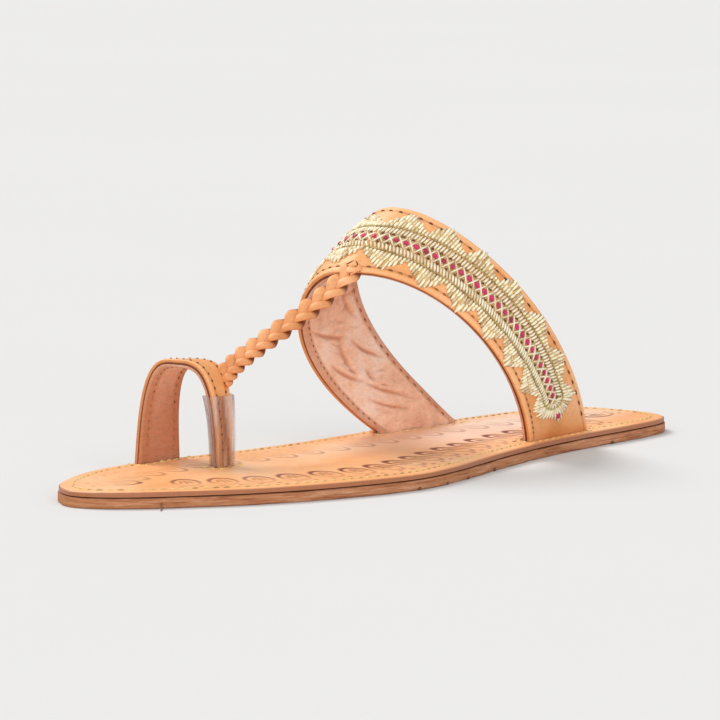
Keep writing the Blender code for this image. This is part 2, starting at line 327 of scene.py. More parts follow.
def grid_faces(rows, columns, closed):
    """Quads of a grid of points, row by row. Closed joins the last column to the first."""
    i = np.arange(rows - 1)[:, None]
    j = np.arange(columns if closed else columns - 1)[None, :]
    k = (j + 1) % columns
    row = i * columns
    after = row + columns
    return np.stack([row + j, row + k, after + k, after + j], axis=-1).reshape(-1, 4)


def closed_faces(rows, columns):
    """Quads round a tube of rings, and a face at each of its ends."""
    last = (rows - 1) * columns
    ends = [list(range(columns))[::-1], list(range(last, last + columns))]
    return grid_faces(rows, columns, True).tolist() + ends


def tubes(name, paths, ups, half_width, half_height, finish, sides=6, taper=(0.45, 0.9, 1.0, 0.9, 0.45)):
    """Many short thread stitches in one mesh. Paths has one line of points for each stitch."""
    count, rows, _ = paths.shape
    shape = np.interp(np.linspace(0, 1, rows), np.linspace(0, 1, len(taper)), taper)
    tangent = unit(np.gradient(paths, axis=1))
    side = unit(np.cross(ups, tangent))
    up = unit(np.cross(tangent, side))
    angles = np.arange(sides) * 2.0 * math.pi / sides + math.pi / sides
    wide = np.broadcast_to(half_width, (count,))[:, None, None, None] * shape[None, :, None, None]
    high = np.broadcast_to(half_height, (count,))[:, None, None, None] * shape[None, :, None, None]
    ring = side[:, :, None] * np.cos(angles)[None, None, :, None] * wide
    ring = ring + up[:, :, None] * np.sin(angles)[None, None, :, None] * high
    points = (paths[:, :, None] + ring).reshape(-1, 3)
    quads = grid_faces(rows, sides, True)
    size = rows * sides
    faces = (quads[None] + (np.arange(count) * size)[:, None, None]).reshape(-1, 4).tolist()
    for n in range(count):
        faces.append([n * size + k for k in range(sides)][::-1])
        faces.append([n * size + size - sides + k for k in range(sides)])
    tone = np.repeat(rng.random(count), size)
    run = np.cumsum(np.linalg.norm(np.diff(paths, axis=1), axis=2), axis=1)
    run = np.concatenate([np.zeros((count, 1)), run], axis=1)
    u = np.broadcast_to(run[:, :, None] / MM, (count, rows, sides)).ravel()
    v = np.broadcast_to(np.abs(np.cos(angles))[None, None], (count, rows, sides)).ravel()
    return make_mesh(name, points, faces, [finish], values={"tone": tone}, uv=np.stack([u, v], axis=1))


# Materials

class Nodes:
    """Adds and links shader nodes. Colours are six-digit codes, and greys are numbers."""

    def __init__(self, name):
        self.material = bpy.data.materials.new(name)
        self.material.use_nodes = True
        self.tree = self.material.node_tree
        self.shader = self.tree.nodes["Principled BSDF"]

    def add(self, kind, **values):
        node = self.tree.nodes.new(kind)
        for word, value in values.items():
            setattr(node, word, value)
        return node

    def join(self, source, target):
        self.tree.links.new(source, target)

    def put(self, value, socket):
        """Gives a socket a number or a colour, or links an output to it."""
        if isinstance(value, str):
            socket.default_value = (*rgb(value), 1.0)
        elif isinstance(value, (int, float)):
            socket.default_value = value
        else:
            self.join(value, socket)

    def mapped(self, vector, scale):
        mapping = self.add("ShaderNodeMapping")
        mapping.inputs["Scale"].default_value = scale
        self.join(vector, mapping.inputs["Vector"])
        return mapping.outputs["Vector"]

    def position(self, scale=(1.0, 1.0, 1.0)):
        """Object coordinates, scaled."""
        return self.mapped(self.add("ShaderNodeTexCoord").outputs["Object"], scale)

    def noise(self, vector, scale, detail, rough):
        node = self.add("ShaderNodeTexNoise")
        node.inputs["Scale"].default_value = scale
        node.inputs["Detail"].default_value = detail
        node.inputs["Roughness"].default_value = rough
        self.join(vector, node.inputs["Vector"])
        return node.outputs["Fac"]

    def ramp(self, value, *stops):
        """A colour ramp: each stop is a place and a colour or grey."""
        node = self.add("ShaderNodeValToRGB")
        points = node.color_ramp.elements
        while len(points) < len(stops):
            points.new(0.5)
        for point, (place, tone) in zip(points, stops):
            point.position = place
            point.color = (*rgb(tone), 1.0) if isinstance(tone, str) else (tone, tone, tone, 1.0)
        self.join(value, node.inputs["Fac"])
        return node.outputs["Color"]

    def value(self, word):
        """A value that the mesh has at its points."""
        return self.add("ShaderNodeAttribute", attribute_name=word).outputs["Fac"]

    def sum(self, kind, *values):
        node = self.add("ShaderNodeMath", operation=kind)
        for value, socket in zip(values, node.inputs):
            self.put(value, socket)
        return node.outputs["Value"]

    def blend(self, factor, a, b, kind="MIX"):
        """Mixes two colours. The colour sockets of this node are its inputs 6 and 7 and its output 2."""
        node = self.add("ShaderNodeMix", data_type="RGBA", blend_type=kind)
        self.put(factor, node.inputs[0])
        self.put(a, node.inputs[6])
        self.put(b, node.inputs[7])
        return node.outputs[2]

    def stain(self, colour, word, amount, code):
        """Blends in a colour where a value of the mesh is high."""
        return self.blend(self.sum("MULTIPLY", self.value(word), amount), colour, code)

    def shade(self, colour, source, *stops):
        """Darkens and lightens a colour by a ramp of greys."""
        return self.blend(1.0, colour, self.ramp(source, *stops), "MULTIPLY")

    def bump(self, height, distance, strength, before=None):
        node = self.add("ShaderNodeBump")
        node.inputs["Strength"].default_value = strength
        node.inputs["Distance"].default_value = distance
        self.join(height, node.inputs["Height"])
        if before is not None:
            self.join(before, node.inputs["Normal"])
        return node.outputs["Normal"]

    def pores(self, vector, scale, distance, strength=0.5):
        node = self.add("ShaderNodeTexVoronoi")
        node.inputs["Scale"].default_value = scale
        self.join(vector, node.inputs["Vector"])
        return self.bump(node.outputs["Distance"], distance, strength)

    def sheen(self, weight, roughness):
        self.shader.inputs["Sheen Weight"].default_value = weight
        self.shader.inputs["Sheen Roughness"].default_value = roughness

    def finish(self, colour, roughness, normal=None, specular=0.5):
        self.put(colour, self.shader.inputs["Base Color"])
        self.put(roughness, self.shader.inputs["Roughness"])
        self.put(specular, self.shader.inputs["Specular IOR Level"])
        if normal is not None:
            self.join(normal, self.shader.inputs["Normal"])
        return self.material


def plait_leather():
    """The thong's strands: cloudy tan with pores and fine folds, and painted shade in their low places, where
    they dip under each other.
    """
    n = Nodes("plait_leather")
    here = n.position()
    cloud = n.noise(here, 38.0, 5.0, 0.6)
    colour = n.ramp(cloud, (0.30, "C27642"), (0.50, "E8A068"), (0.72, "FABE8C"))
    colour = n.shade(colour, n.noise(here, 900.0, 3.0, 0.7), (0.28, 0.80), (0.45, 1.0), (0.75, 1.04))
    # Painted shade: darker where each strand dips under the others
    colour = n.stain(colour, "low", 0.95, "6E3414")
    folds = n.noise(n.position((1.0, 2.2, 1.0)), 260.0, 6.0, 0.7)
    normal = n.bump(folds, 0.00022, 0.35, n.pores(here, 1500.0, 0.00004))
    return n.finish(colour, n.ramp(cloud, (0.3, 0.55), (0.7, 0.40)), normal, 0.35)


def outer_leather():
    """The band's and loop's outer leather, darker in its stitch line, and with painted shade toward the feet.
    """
    n = Nodes("outer_leather")
    here = n.position()
    cloud = n.noise(here, 45.0, 5.0, 0.6)
    colour = n.ramp(cloud, (0.28, "E0914F"), (0.50, "F2AA6C"), (0.74, "FABF8C"))
    colour = n.stain(colour, "groove", 0.55, "A85A28")
    colour = n.stain(colour, "rim", 0.5, "FFC590")
    # Painted shade toward the feet and down the toe loop's medial leg
    colour = n.stain(colour, "foot", 0.42, "B4662F")
    colour = n.shade(colour, n.noise(here, 1100.0, 3.0, 0.7), (0.28, 0.80), (0.45, 1.0), (0.8, 1.05))
    normal = n.bump(n.noise(here, 320.0, 6.0, 0.7), 0.00018, 0.3, n.pores(here, 1700.0, 0.00003))
    return n.finish(colour, n.ramp(cloud, (0.3, 0.55), (0.7, 0.42)), normal, 0.35)


def lining_leather():
    """Soft pinkish lining with fine creases, painted shade in them and over the toe loop's lining, and a
    darker turned border.
    """
    n = Nodes("lining_leather")
    cloud = n.noise(n.position(), 60.0, 6.0, 0.65)
    colour = n.ramp(cloud, (0.28, "E2A482"), (0.50, "FCCEB0"), (0.70, "FFEADC"))
    # Painted shade in the creases' troughs and over the toe loop's lining
    colour = n.stain(colour, "crease", 0.75, "C27850")
    colour = n.stain(colour, "rim", 0.55, "C07A50")
    fibres = n.noise(n.position((1.0, 1.0, 2.6)), 420.0, 7.0, 0.75)
    colour = n.shade(colour, fibres, (0.3, 0.82), (0.55, 1.0), (0.8, 1.08))
    wrinkles = n.noise(n.position((1.0, 1.0, 2.0)), 120.0, 5.0, 0.62)
    normal = n.bump(wrinkles, 0.0026, 0.50, n.bump(fibres, 0.00025, 0.45))
    n.sheen(0.25, 0.5)
    return n.finish(colour, 0.66, normal, 0.25)


def edge_leather():
    """Burnished cut edge of the straps."""
    n = Nodes("burnished_edge")
    fibres = n.noise(n.position(), 500.0, 5.0, 0.7)
    colour = n.ramp(fibres, (0.30, "5A2B15"), (0.55, "7A3D1F"), (0.8, "96532E"))
    return n.finish(colour, 0.55, n.bump(fibres, 0.0002, 0.5))


def sole_leather():
    """Side and underside of the outsole: pressed fibres in level layers."""
    n = Nodes("sole_side_leather")
    layers = n.noise(n.position((1.0, 1.0, 16.0)), 85.0, 8.0, 0.72)
    colour = n.ramp(layers, (0.32, "86492E"), (0.46, "BA7852"), (0.57, "D0946E"), (0.70, "E8BA96"))
    cloud = n.noise(n.position(), 70.0, 4.0, 0.6)
    colour = n.blend(n.ramp(cloud, (0.45, 0.0), (0.75, 0.65)), colour, "C98A58")
    colour = n.stain(colour, "dark", 0.75, "6E3D22")
    fine = n.noise(n.position((1.0, 1.0, 9.0)), 420.0, 6.0, 0.75)
    colour = n.shade(colour, fine, (0.3, 0.80), (0.5, 1.0), (0.8, 1.10))
    normal = n.bump(fine, 0.0003, 0.5, n.bump(layers, 0.0009, 0.55))
    return n.finish(colour, 0.72, normal, 0.25)


def insole_leather():
    """Top leather: light tan with a painted pinkish sheen in its middle, stamped marks and a dark cut side.
    """
    n = Nodes("insole_top_leather")
    here = n.position()
    cloud = n.noise(n.position((1.0, 1.8, 1.0)), 24.0, 5.0, 0.6)
    tan = n.ramp(cloud, (0.28, "E89E60"), (0.50, "F8B478"), (0.74, "FFCB98"))
    # Painted sheen: a lighter pinkish patch in the insole's middle
    painted_sheen = n.ramp(n.noise(here, 33.0, 4.0, 0.6), (0.3, "F6CEB4"), (0.7, "FFE6D6"))
    colour = n.blend(n.value("painted_sheen"), tan, painted_sheen)
    colour = n.blend(n.ramp(n.value("stamp"), (0.10, 0.0), (0.55, 1.0)), colour, "86340E")
    colour = n.blend(n.value("side"), colour, "AC6C48")
    colour = n.shade(colour, n.noise(here, 800.0, 4.0, 0.7), (0.28, 0.86), (0.45, 1.0), (0.8, 1.04))
    grain = n.noise(n.position((1.0, 2.0, 1.0)), 150.0, 6.0, 0.7)
    normal = n.bump(grain, 0.0004, 0.25, n.pores(here, 1300.0, 0.00003, 0.45))
    return n.finish(colour, n.ramp(cloud, (0.3, 0.50), (0.7, 0.36)), normal, 0.4)


def thread(name, dark, light, gloss=0.36):
    """Floss: each stitch has its own tone, and fine strands run along it."""
    n = Nodes(name)
    place = n.add("ShaderNodeUVMap", uv_map="thread")
    strands = n.noise(n.mapped(place.outputs["UV"], (0.8, 9.0, 1.0)), 1.6, 3.0, 0.6)
    mixed = n.sum("MULTIPLY_ADD", n.value("tone"), 0.55, n.sum("MULTIPLY", strands, 0.75))
    n.sheen(0.15, 0.4)
    return n.finish(n.ramp(mixed, (0.28, dark), (0.68, light)), gloss, n.bump(strands, 0.00025, 0.5))


def clear_plastic():
    """A thin clear film: milky streaks along it and brown streaks of painted shade, and more of them where it
    turns away.
    """
    n = Nodes("clear_sleeve_plastic")
    streaks = n.noise(n.position((1.0, 1.0, 0.12)), 420.0, 4.0, 0.65)
    milk = n.ramp(streaks, (0.38, 0.08), (0.54, 0.24), (0.70, 0.60))
    # Painted shade: brown streaks in the film's tint
    streak_shade = n.noise(n.position((1.0, 1.0, 0.10)), 300.0, 3.0, 0.6)
    tint = n.ramp(streak_shade, (0.40, "8C5540"), (0.52, "D2AE9C"), (0.62, "EEDCD2"))
    turn = n.add("ShaderNodeLayerWeight")
    turn.inputs["Blend"].default_value = 0.35
    cover = n.sum("ADD", milk, n.sum("MULTIPLY", turn.outputs["Facing"], 0.42))
    n.join(cover, n.shader.inputs["Alpha"])
    return n.finish(tint, 0.12, n.bump(streaks, 0.0008, 0.6), 0.9)


def floor_paint():
    n = Nodes("studio_floor")
    tone = n.ramp(n.noise(n.position(), 3.0, 2.0, 0.5), (0.3, 0.700), (0.7, 0.708))
    return n.finish(tone, 0.9, specular=0.1)


OUTER = outer_leather()
LINING = lining_leather()
RIM = edge_leather()
SOLE = sole_leather()
INSOLE = insole_leather()
PLAIT = plait_leather()
CREAM = thread("cream_floss", "C0925A", "FFF5D4")
IVORY = thread("ivory_floss", "DCC48E", "FFF7DA")
OLIVE = thread("olive_floss", "8A7438", "C8B26C")
MAGENTA = thread("magenta_floss", "860C34", "D81C62")
BROWN = thread("brown_thread", "4A2712", "7A4824", 0.6)
TAN = thread("tan_thread", "6A4420", "A0703A", 0.6)
GOLD = thread("gold_thread", "A8853C", "EAD488", 0.4)
PALE = thread("pale_thread", "8E4E2C", "B87850", 0.6)
GROUND = thread("ground_floss", "8E6236", "D6AC70", 0.55)
UNDER = thread("gold_under_floss", "A67E3C", "E0BE74", 0.5)
CLEAR = clear_plastic()


# Camera, light and floor

FILL_STRENGTH = 0.50
BACKDROP_STRENGTH = 0.83
FLOOR_REACH = 20.0


def aim(made, direction):
    """Turns a camera or lamp to look along a direction, and puts it in the scene."""
    made.rotation_mode = "QUATERNION"
    made.rotation_quaternion = Vector(direction).to_track_quat("-Z", "Y")
    bpy.context.scene.collection.objects.link(made)


def make_camera():
    data = bpy.data.cameras.new("camera")
    data.sensor_width = 36.0
    data.lens = CAMERA_LENS
    data.clip_start = 0.05
    data.clip_end = 60.0
    camera = bpy.data.objects.new("camera", data)
    camera.location = CAMERA_PLACE
    aim(camera, Vector(CAMERA_TARGET) - Vector(CAMERA_PLACE))
    bpy.context.scene.camera = camera


def soft_sun(name, energy, spread, direction, colour=(1.0, 1.0, 1.0)):
    data = bpy.data.lights.new(name, "SUN")
    data.energy = energy
    data.angle = math.radians(spread)
    data.color = colour
    aim(bpy.data.objects.new(name, data), direction)


def make_world():
    """White light from all round, seen a little brighter behind the shoe than it shines."""
    world = bpy.data.worlds.new("studio")
    bpy.context.scene.world = world
    world.use_nodes = True
    tree = world.node_tree
    path = tree.nodes.new("ShaderNodeLightPath")
    mix = tree.nodes.new("ShaderNodeMixShader")
    tree.links.new(path.outputs["Is Camera Ray"], mix.inputs["Fac"])
    for socket, strength in ((mix.inputs[1], FILL_STRENGTH), (mix.inputs[2], BACKDROP_STRENGTH)):
        white = tree.nodes.new("ShaderNodeBackground")
        white.inputs["Color"].default_value = (1.0, 1.0, 1.0, 1.0)
        white.inputs["Strength"].default_value = strength
        tree.links.new(white.outputs["Background"], socket)
    tree.links.new(mix.outputs["Shader"], tree.nodes["World Output"].inputs["Surface"])


def make_floor():
    corners = [(-1, -1), (1, -1), (1, 1), (-1, 1)]
    points = [(x * FLOOR_REACH, y * FLOOR_REACH, 0.0) for x, y in corners]
    make_mesh("floor", points, [(0, 1, 2, 3)], [floor_paint()])


make_camera()
make_world()
soft_sun("softbox", 1.95, 30, (0.05, 0.78, -1.0), (1.0, 0.985, 0.965))
soft_sun("front_fill", 1.65, 70, (-0.70, -0.62, -0.42))
make_floor()
bpy.context.scene.view_settings.view_transform = "Standard"


# Sole pieces

def waves(run, parts):
    """A smooth closed wobble: parts are (cycles, phase, amount)."""
    total = np.zeros_like(run)
    for cycles, phase, amount in parts:
        total += amount * np.sin(2.0 * math.pi * cycles * run + phase)
    return total


# The outsole's side from its underside to its top: how far out it is from the outline, its height, how dark
# it is burnished, and its share of the cut's waves
SideRow = namedtuple("SideRow", "out height dark share")
OUTSOLE_SIDE = [
    SideRow(-0.00055, 0.0, 0.5, 0.4),
    SideRow(-0.00015, 0.00012, 0.4, 1.0),
    SideRow(0.0, 0.0005, 0.1, 1.0),
    SideRow(0.00004, 0.0012, 0.0, 1.0),
    SideRow(0.0, 0.0019, 0.0, 1.0),
    SideRow(0.00003, 0.0026, 0.0, 1.0),
    SideRow(-0.00004, 0.0029, 0.25, 1.0),
    SideRow(-0.0005, OUTSOLE_THICKNESS, 1.0, 0.4),
    SideRow(-0.0020, OUTSOLE_THICKNESS, 1.0, 0.4),
]
CUT_WAVES = [(23, 0.4, 0.00010), (41, 1.9, 0.00008), (67, 0.2, 0.00005), (109, 0.7, 0.00004)]


def make_outsole():
    """The ground leather, with a slightly uneven cut edge."""
    count = len(SMOOTH_RING)
    cut = waves(np.arange(count) / count, CUT_WAVES)
    points = []
    for row in OUTSOLE_SIDE:
        plan = offset_ring(SMOOTH_RING, row.out + cut * row.share)
        points.append(np.column_stack([plan, np.full(count, row.height)]))
    dark = np.repeat([row.dark for row in OUTSOLE_SIDE], count)
    faces = closed_faces(len(points), count)
    made = make_mesh("outsole_leather", np.vstack(points), faces, [SOLE], values={"dark": dark})
    made.data.set_sharp_from_angle(angle=math.radians(50))
    return piece(made, "sole_leather", "outsole")


END_CROWDING = 0.62


def branches(ring, columns):
    """Medial and lateral y of a ring at x places that close up toward its two ends."""
    ring = np.roll(ring, -ring[:, 0].argmin(), axis=0)
    tip = ring[:, 0].argmax()
    medial = ring[:tip + 1]
    lateral = np.vstack([ring[tip:], ring[:1]])[::-1]
    x = -np.cos(np.linspace(0.0, math.pi, columns))
    x = np.sign(x) * (1.0 - (1.0 - np.abs(x)) ** END_CROWDING)
    x = (x + 1.0) / 2.0 * (ring[tip, 0] - ring[0, 0]) + ring[0, 0]
    return x, np.interp(x, medial[:, 0], medial[:, 1]), np.interp(x, lateral[:, 0], lateral[:, 1])


GAP_SLACK = 0.00015
LINE_STEPS = 6


def inner_line(distance, pitch):
    """An even line of places inside the sole's edge, with their outward directions."""
    dense = smooth_closed(RING, 2 * LINE_STEPS)
    moved = offset_ring(dense, -distance)
    gap = np.linalg.norm(moved[:, None] - dense[None], axis=2).min(axis=1)
    moved = moved[gap > distance - GAP_SLACK]
    count = int(round(lengths_of(np.vstack([moved, moved[:1]]))[-1] / pitch))
    even = even_closed(moved, count * LINE_STEPS)
    even = sum(np.roll(even, k, axis=0) for k in (-2, -1, 0, 1, 2)) / 5.0
    out = ring_normals(even)
    return even[::LINE_STEPS], out[::LINE_STEPS]


STAMP_INSET = 0.0170
STAMP_PITCH = 0.0113
STAMP_SPACE = 0.0098
STAMP_REACH = 0.0135
STAMP_DEPTH = 0.00034
# Sizes of one stamp in mm, along the sole's edge and outward to it
OVAL_HALF_WIDTH = 4.0
OVAL_HALF_LENGTH = 6.6
OVAL_LINE_SHARE = 0.17
RAY_HALF_WIDTH = 0.42
RAY_MIDDLE = -0.6
DOT_SIDE = 2.9
DOT_OUT = 8.4
DOT_RADIUS = 0.85
Ray = namedtuple("Ray", "side reach")
RAYS = [Ray(-1.6, 2.6), Ray(0.0, 3.6), Ray(1.6, 2.6)]


def stamping(plan):
    """How deep each place is stamped, from 0 to 1: a row of ovals with rays and a row of dots outside it."""
    middles, outs = inner_line(STAMP_INSET, STAMP_PITCH)
    mask = np.zeros(len(plan))
    kept = []
    for middle, out in zip(middles, outs):
        if any(np.hypot(*(middle - other)) < STAMP_SPACE for other in kept):
            continue
        kept.append(middle)
        near = np.abs(plan - middle).max(axis=1) < STAMP_REACH
        local = (plan[near] - middle) / MM
        radial = local @ out
        along = local @ np.array([-out[1], out[0]])
        oval = np.sqrt((along / OVAL_HALF_WIDTH) ** 2 + (radial / OVAL_HALF_LENGTH) ** 2)
        value = np.exp(-((oval - 1.0) / OVAL_LINE_SHARE) ** 2) * np.clip(0.72 - radial * 0.09, 0.4, 1.0)
        for ray in RAYS:
            line = np.exp(-((along - ray.side * (1.0 + radial * 0.08)) / RAY_HALF_WIDTH) ** 2)
            value = np.maximum(value, line * (np.abs(radial - RAY_MIDDLE) < ray.reach) * 0.9)
        for side in (-DOT_SIDE, DOT_SIDE):
            dot = np.hypot(along - side, radial - DOT_OUT)
            value = np.maximum(value, np.exp(-(dot / DOT_RADIUS) ** 4) * 0.8)
        mask[near] = np.maximum(mask[near], value)
    return mask


def edge_distance(plan, ring):
    """Distance of each place from the nearest side of a ring."""
    step = np.roll(ring, -1, axis=0) - ring
    size = (step ** 2).sum(axis=1)
    found = []
    for block in np.array_split(plan, 60):
        away = block[:, None] - ring[None]
        t = np.clip((away * step).sum(axis=2) / size, 0.0, 1.0)
        found.append(np.sqrt(((away - t[..., None] * step) ** 2).sum(axis=2).min(axis=1)))
    return np.concatenate(found)


INSOLE_COLUMNS = 470
INSOLE_ROWS = 132
EDGE_CROWDING = 0.12
INSOLE_LIP = 0.00085
FACE_DROP = 0.00012
DENT_DEPTH = 0.00008
RIM_DROP = 0.00042
# How far in from the edge the rim slopes down, in mm
RIM_REACH = 1.1
# How much fainter the stamps are toward the toe, on the medial side and in patches
TOE_FADE = 0.38
TOE_FADE_START = 0.015
TOE_FADE_LENGTH = 0.06
MEDIAL_FADE = 0.62
MEDIAL_FADE_LENGTH = 0.004
PATCH_FADE = 0.16
# The painted sheen's middle, and its half length and half width
SHEEN_X = -0.060
SHEEN_Y = -0.005
SHEEN_HALF_LENGTH = 0.085
SHEEN_HALF_WIDTH = 0.022
MERGE_DISTANCE = 0.000004


def make_insole():
    """The top leather: a fine grid with the stamping sunk in it, and a plain side and underside."""
    ring = offset_ring(SMOOTH_RING, -INSOLE_INSET)
    columns = INSOLE_COLUMNS
    rows = INSOLE_ROWS
    x, medial, lateral = branches(ring, columns)
    even = np.linspace(0.0, 1.0, rows)
    share = (1.0 - np.cos(math.pi * even)) / 2.0 * EDGE_CROWDING + even * (1.0 - EDGE_CROWDING)
    top_x = np.repeat(x[:, None], rows, axis=1)
    top_y = medial[:, None] + (lateral - medial)[:, None] * share[None]
    plan = np.column_stack([top_x.ravel(), top_y.ravel()])
    edge = edge_distance(plan, ring) / MM
    stamp = stamping(plan)
    toward_toe = np.clip((plan[:, 0] - TOE_FADE_START) / TOE_FADE_LENGTH, 0.0, 1.0)
    patch = 0.5 + 0.5 * np.sin(plan[:, 0] * 143.0 + 1.0) * np.cos(plan[:, 1] * 171.0)
    strength = (1.0 - TOE_FADE * toward_toe) * (1.0 - PATCH_FADE + PATCH_FADE * patch)
    middle_y = np.repeat((medial + lateral)[:, None] / 2, rows, axis=1).ravel()
    medial_side = np.clip((middle_y - plan[:, 1]) / MEDIAL_FADE_LENGTH, 0.0, 1.0)
    strength *= 1.0 - medial_side * (MEDIAL_FADE - 0.25 * toward_toe)
    rim = np.clip((RIM_REACH - edge) / RIM_REACH, 0.0, 1.0)
    dent = DENT_DEPTH * np.sin(plan[:, 0] * 61.0) * np.sin(plan[:, 1] * 83.0 + 0.6)
    z = INSOLE_TOP - FACE_DROP - STAMP_DEPTH * stamp * strength - RIM_DROP * rim ** 2 + dent
    # Painted sheen: how strongly the lighter pinkish patch shows, most in the middle
    away = np.hypot((plan[:, 0] - SHEEN_X) / SHEEN_HALF_LENGTH, (plan[:, 1] - SHEEN_Y) / SHEEN_HALF_WIDTH)
    painted_sheen = np.clip(1.1 - away, 0.0, 0.8)
    top = np.column_stack([plan, z])
    border = np.concatenate([
        np.arange(columns) * rows,
        (columns - 1) * rows + np.arange(1, rows),
        (np.arange(columns - 1, 0, -1) - 1) * rows + rows - 1,
        np.arange(rows - 2, 0, -1),
    ])
    count = len(border)
    lip = np.column_stack([plan[border], np.full(count, INSOLE_BOTTOM + INSOLE_LIP)])
    under = np.column_stack([plan[border], np.full(count, INSOLE_BOTTOM)])
    below = np.zeros(2 * count)
    values = {
        "side": np.concatenate([np.clip((0.55 - edge) / 0.35, 0.0, 1.0), below + 1.0]),
        "stamp": np.concatenate([np.clip(stamp * strength, 0.0, 1.0), below]),
        "painted_sheen": np.concatenate([painted_sheen, below]),
    }
    first = len(top) + np.arange(count)
    faces = grid_faces(columns, rows, False)[:, ::-1].tolist()
    for a, b in ((border, first), (first, first + count)):
        faces += np.stack([a, b, np.roll(b, -1), np.roll(a, -1)], axis=1).tolist()
    faces.append((first + count)[::-1].tolist())
    made = make_mesh("insole_leather", np.vstack([top, lip, under]), faces, [INSOLE], values=values)
    outward(made, MERGE_DISTANCE)
    made.data.set_sharp_from_angle(angle=math.radians(55))
    return piece(made, "insole_leather", "insole")


def leg_ring(strap, arch, grow):
    """The plan of a leg's foot, grown by a distance, as six points."""
    width = strap.width(np.array([arch]))[0]
    corners = []
    for across, depth in ((0.0, 0.0), (0.5, 0.0), (1.0, 0.0), (1.0, 1.0), (0.5, 1.0), (0.0, 1.0)):
        share = across + (2.0 * across - 1.0) * grow / width
        out = strap.normal(np.array([arch]), np.array([across]))[0]
        base = strap.point(np.array([arch]), np.array([share]))[0]
        corners.append(base + out * (grow if depth == 0.0 else -strap.wall - grow))
    return np.array(corners)[:, :2]


def cut_slots(insole):
    """The slits that the strap ends pass through."""
    for strap, arch in FEET:
        ring = leg_ring(strap, arch, SLOT_GAP)
        count = len(ring)
        low = np.column_stack([ring, np.full(count, INSOLE_BOTTOM - MM)])
        high = np.column_stack([ring, np.full(count, INSOLE_TOP + MM)])
        cutter = make_mesh("slot", np.vstack([low, high]), closed_faces(2, count), [INSOLE])
        outward(cutter)
        modifier = insole.modifiers.new("slot", "BOOLEAN")
        modifier.operation = "DIFFERENCE"
        modifier.solver = "EXACT"
        modifier.object = cutter
        shape = bpy.data.meshes.new_from_object(insole.evaluated_get(bpy.context.evaluated_depsgraph_get()))
        insole.modifiers.clear()
        insole.data = shape
        bpy.data.objects.remove(cutter)


make_outsole()
cut_slots(make_insole())


# Straps

STITCH_INSET = 0.0022
RIM_WIDTH = 0.0012

# Round a strap's edge from its outer face to its inner one: inset from the edge, share of the wall, and
# which leather shows there: 0 outer, 1 burnished edge, 2 lining
EdgeRow = namedtuple("EdgeRow", "inset depth part")
EDGE_ROWS = [
    EdgeRow(0.0034, 0.000, 0), EdgeRow(0.0027, 0.000, 0), EdgeRow(STITCH_INSET, 0.045, 0),
    EdgeRow(0.0017, 0.000, 0), EdgeRow(0.0011, 0.000, 0), EdgeRow(0.0006, 0.015, 0),
    EdgeRow(0.00025, 0.060, 0), EdgeRow(0.00006, 0.130, 0), EdgeRow(0.00002, 0.240, 0),
    EdgeRow(0.00006, 0.350, 0), EdgeRow(0.00030, 0.420, 1), EdgeRow(0.00036, 0.500, 1),
    EdgeRow(0.00032, 0.580, 1), EdgeRow(0.00012, 0.640, 2), EdgeRow(0.00002, 0.730, 2),
    EdgeRow(0.00004, 0.850, 2), EdgeRow(0.00022, 0.940, 2), EdgeRow(0.00060, 0.985, 2),
    EdgeRow(0.00130, 1.000, 2), EdgeRow(0.0020, 1.000, 2), EdgeRow(0.0026, 0.955, 2),
    EdgeRow(0.0032, 1.000, 2),
]
# Soft creases of the band's lining, in mm from the top along the medial half and from the middle
Crease = namedtuple("Crease", "run wide end_run end_wide depth width")
CREASES = [
    Crease(42, -14, 52, 4, 0.36, 1.2),
    Crease(52, 4, 64, 15, 0.32, 1.2),
    Crease(50, 0, 72, -4, 0.32, 1.2),
    Crease(60, -13, 72, -4, 0.36, 1.3),
    Crease(72, -4, 82, 12, 0.32, 1.2),
    Crease(33, 8, 47, 12, 0.26, 1.1),
    Crease(66, 3, 74, 2, 0.32, 1.0),
    Crease(80, -10, 88, 6, 0.30, 1.2),
    Crease(26, -9, 38, -3, 0.24, 1.2),
    Crease(-40, -12, -52, 6, 0.22, 1.5),
    Crease(-62, -8, -70, 10, 0.20, 1.5),
]


def small_creases(count):
    """Short faint creases that lie about across the band."""
    rows = []
    for _ in range(count):
        run = rng.uniform(18, 88)
        wide = rng.uniform(-13, 10)
        size = rng.uniform(4, 9)
        lean = rng.uniform(-0.5, 0.9)
        depth = rng.uniform(0.08, 0.19)
        rows.append(Crease(run, wide, run + size * lean, wide + size, depth, rng.uniform(0.5, 0.9)))
    return rows


CREASE_BEND = 0.09
CREASE_RELIEF = 1.9
RIDGE_PLACE = 1.7
RIDGE_SHARE = 0.55


def crease_depth(run, wide):
    """Depth in mm of soft troughs, each with a lower ridge beside it, at places in mm."""
    total = np.zeros(np.broadcast(run, wide).shape)
    for c in CREASES + SMALL_CREASES:
        reach = np.hypot(c.end_run - c.run, c.end_wide - c.wide)
        ahead = ((run - c.run) * (c.end_run - c.run) + (wide - c.wide) * (c.end_wide - c.wide)) / reach
        beside = ((wide - c.wide) * (c.end_run - c.run) - (run - c.run) * (c.end_wide - c.wide)) / reach
        t = np.clip(ahead / reach, 0.0, 1.0)
        beside = beside + CREASE_BEND * reach * np.sin(t * math.pi)
        fade = np.sin(t * math.pi) ** 0.7
        trough = np.exp(-(beside / c.width) ** 2)
        ridge = np.exp(-((beside - RIDGE_PLACE * c.width) / c.width) ** 2)
        total += c.depth * fade * (trough - RIDGE_SHARE * ridge)
    return total


SMALL_CREASES = small_creases(46)


